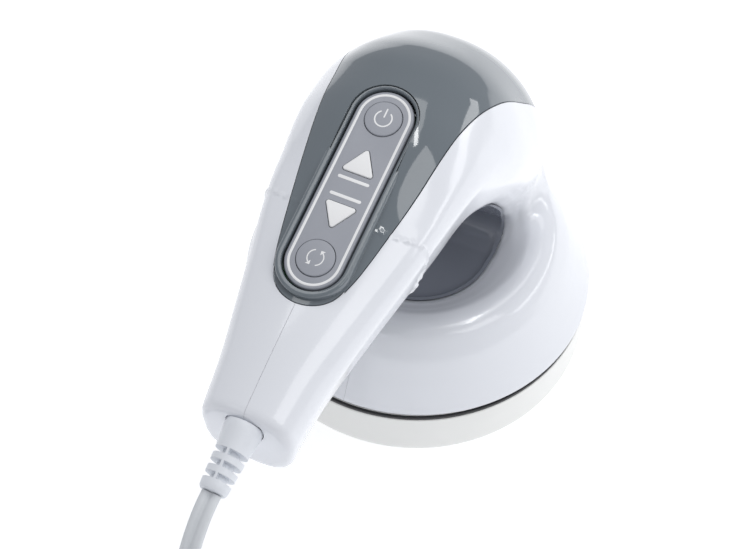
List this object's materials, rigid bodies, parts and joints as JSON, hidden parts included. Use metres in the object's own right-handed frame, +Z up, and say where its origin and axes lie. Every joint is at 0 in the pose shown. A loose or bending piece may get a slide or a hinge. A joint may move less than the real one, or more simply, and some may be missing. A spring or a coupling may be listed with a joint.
{
  "type": "handheld orbital massager",
  "caption": "Arched handheld massager: round head driven in a small circle by a geared motor, handle with finger gap, sprung keys on a sloping panel, flat twin cord with plug",
  "frame": {"origin": "on the massage head's axis, on the plane of its working face, which is the surface it stands on", "axes": "+X from the head's axis towards the cord end of the handle, +Y to the right seen from behind the handle's cord end looking at the head, +Z up out of the dome"},
  "size_m": [0.3676, 0.1705, 0.1494],
  "materials": {
    "white_shell": "glossy white ABS",
    "warm_white": "satin off-white ABS",
    "blue_grey": "high gloss blue-grey",
    "key_grey": "satin grey",
    "liner_grey": "glossy dark grey",
    "key_white": "satin white",
    "steel": "plain steel",
    "brass": "machined brass",
    "nylon": "natural nylon",
    "circuit_board": "green solder mask",
    "black_plastic": "black moulding",
    "cord_grey": "soft light grey vinyl",
    "relief_white": "soft white vinyl",
    "pad_grey": "soft grey rubber"
  },
  "bodies": {
    "housing": {"left_housing": "white_shell", "right_housing": "white_shell", "top_cover": "blue_grey", "grip_liner": "liner_grey", "housing_screw_1": "steel", "housing_screw_2": "steel", "housing_screw_3": "steel", "button_bezel": "blue_grey", "button_plate": "key_grey", "control_board": "circuit_board", "power_switch": "black_plastic", "speed_up_switch": "black_plastic", "speed_down_switch": "black_plastic", "auto_switch": "black_plastic", "chassis": "nylon", "motor_bracket": "steel", "motor_can": "steel", "main_bearing": "steel", "guide_pin_1": "steel", "guide_pin_2": "steel", "guide_pin_3": "steel", "strain_relief": "relief_white", "power_cord": "cord_grey", "plug_lead": "cord_grey", "cord_coil": "cord_grey", "cord_tie": "black_plastic", "plug_body": "cord_grey", "plug_pin_left": "steel", "plug_pin_right": "steel"},
    "power_key": {"power_button": "key_grey"},
    "speed_up_key": {"speed_up_button": "key_white"},
    "speed_down_key": {"speed_down_button": "key_white"},
    "auto_key": {"auto_button": "key_grey"},
    "rotor": {"motor_rotor": "steel", "cooling_fan": "black_plastic", "pinion": "brass"},
    "crank": {"crank_shaft": "steel", "counterweight": "brass", "drive_gear": "nylon"},
    "orbit_head": {"drive_plate": "nylon", "pin_bearing": "steel", "guide_bush_1": "black_plastic", "guide_bush_2": "black_plastic", "guide_bush_3": "black_plastic", "head_cup": "warm_white", "massage_pad": "pad_grey"}
  },
  "joints": [
    {"name": "power_press", "type": "slide", "parent": "housing", "child": "power_key", "axis": [0.2487, 0, 0.9686], "range_m": [-0.0006, 0], "stiffness_N_per_m": 1500, "springref_m": 0.0002},
    {"name": "speed_up_press", "type": "slide", "parent": "housing", "child": "speed_up_key", "axis": [0.2487, 0, 0.9686], "range_m": [-0.0006, 0], "stiffness_N_per_m": 1500, "springref_m": 0.0002},
    {"name": "speed_down_press", "type": "slide", "parent": "housing", "child": "speed_down_key", "axis": [0.2487, 0, 0.9686], "range_m": [-0.0006, 0], "stiffness_N_per_m": 1500, "springref_m": 0.0002},
    {"name": "auto_press", "type": "slide", "parent": "housing", "child": "auto_key", "axis": [0.2487, 0, 0.9686], "range_m": [-0.0006, 0], "stiffness_N_per_m": 1500, "springref_m": 0.0002},
    {"name": "crank_spin", "type": "hinge", "parent": "housing", "child": "crank", "pos_m": [0, 0, 0.03], "axis": [0, 0, 1], "continuous": true},
    {"name": "rotor_spin", "type": "hinge", "parent": "housing", "child": "rotor", "pos_m": [-0.035, 0, 0.03], "axis": [0, 0, 1], "continuous": true},
    {"name": "head_orbit", "type": "hinge", "parent": "crank", "child": "orbit_head", "pos_m": [0.0015, 0, 0.017], "axis": [0, 0, 1], "continuous": true}
  ],
  "couplings": [
    {"joint": "rotor_spin", "follows": "crank_spin", "ratio": -4.8333},
    {"joint": "head_orbit", "follows": "crank_spin", "ratio": -1}
  ]
}
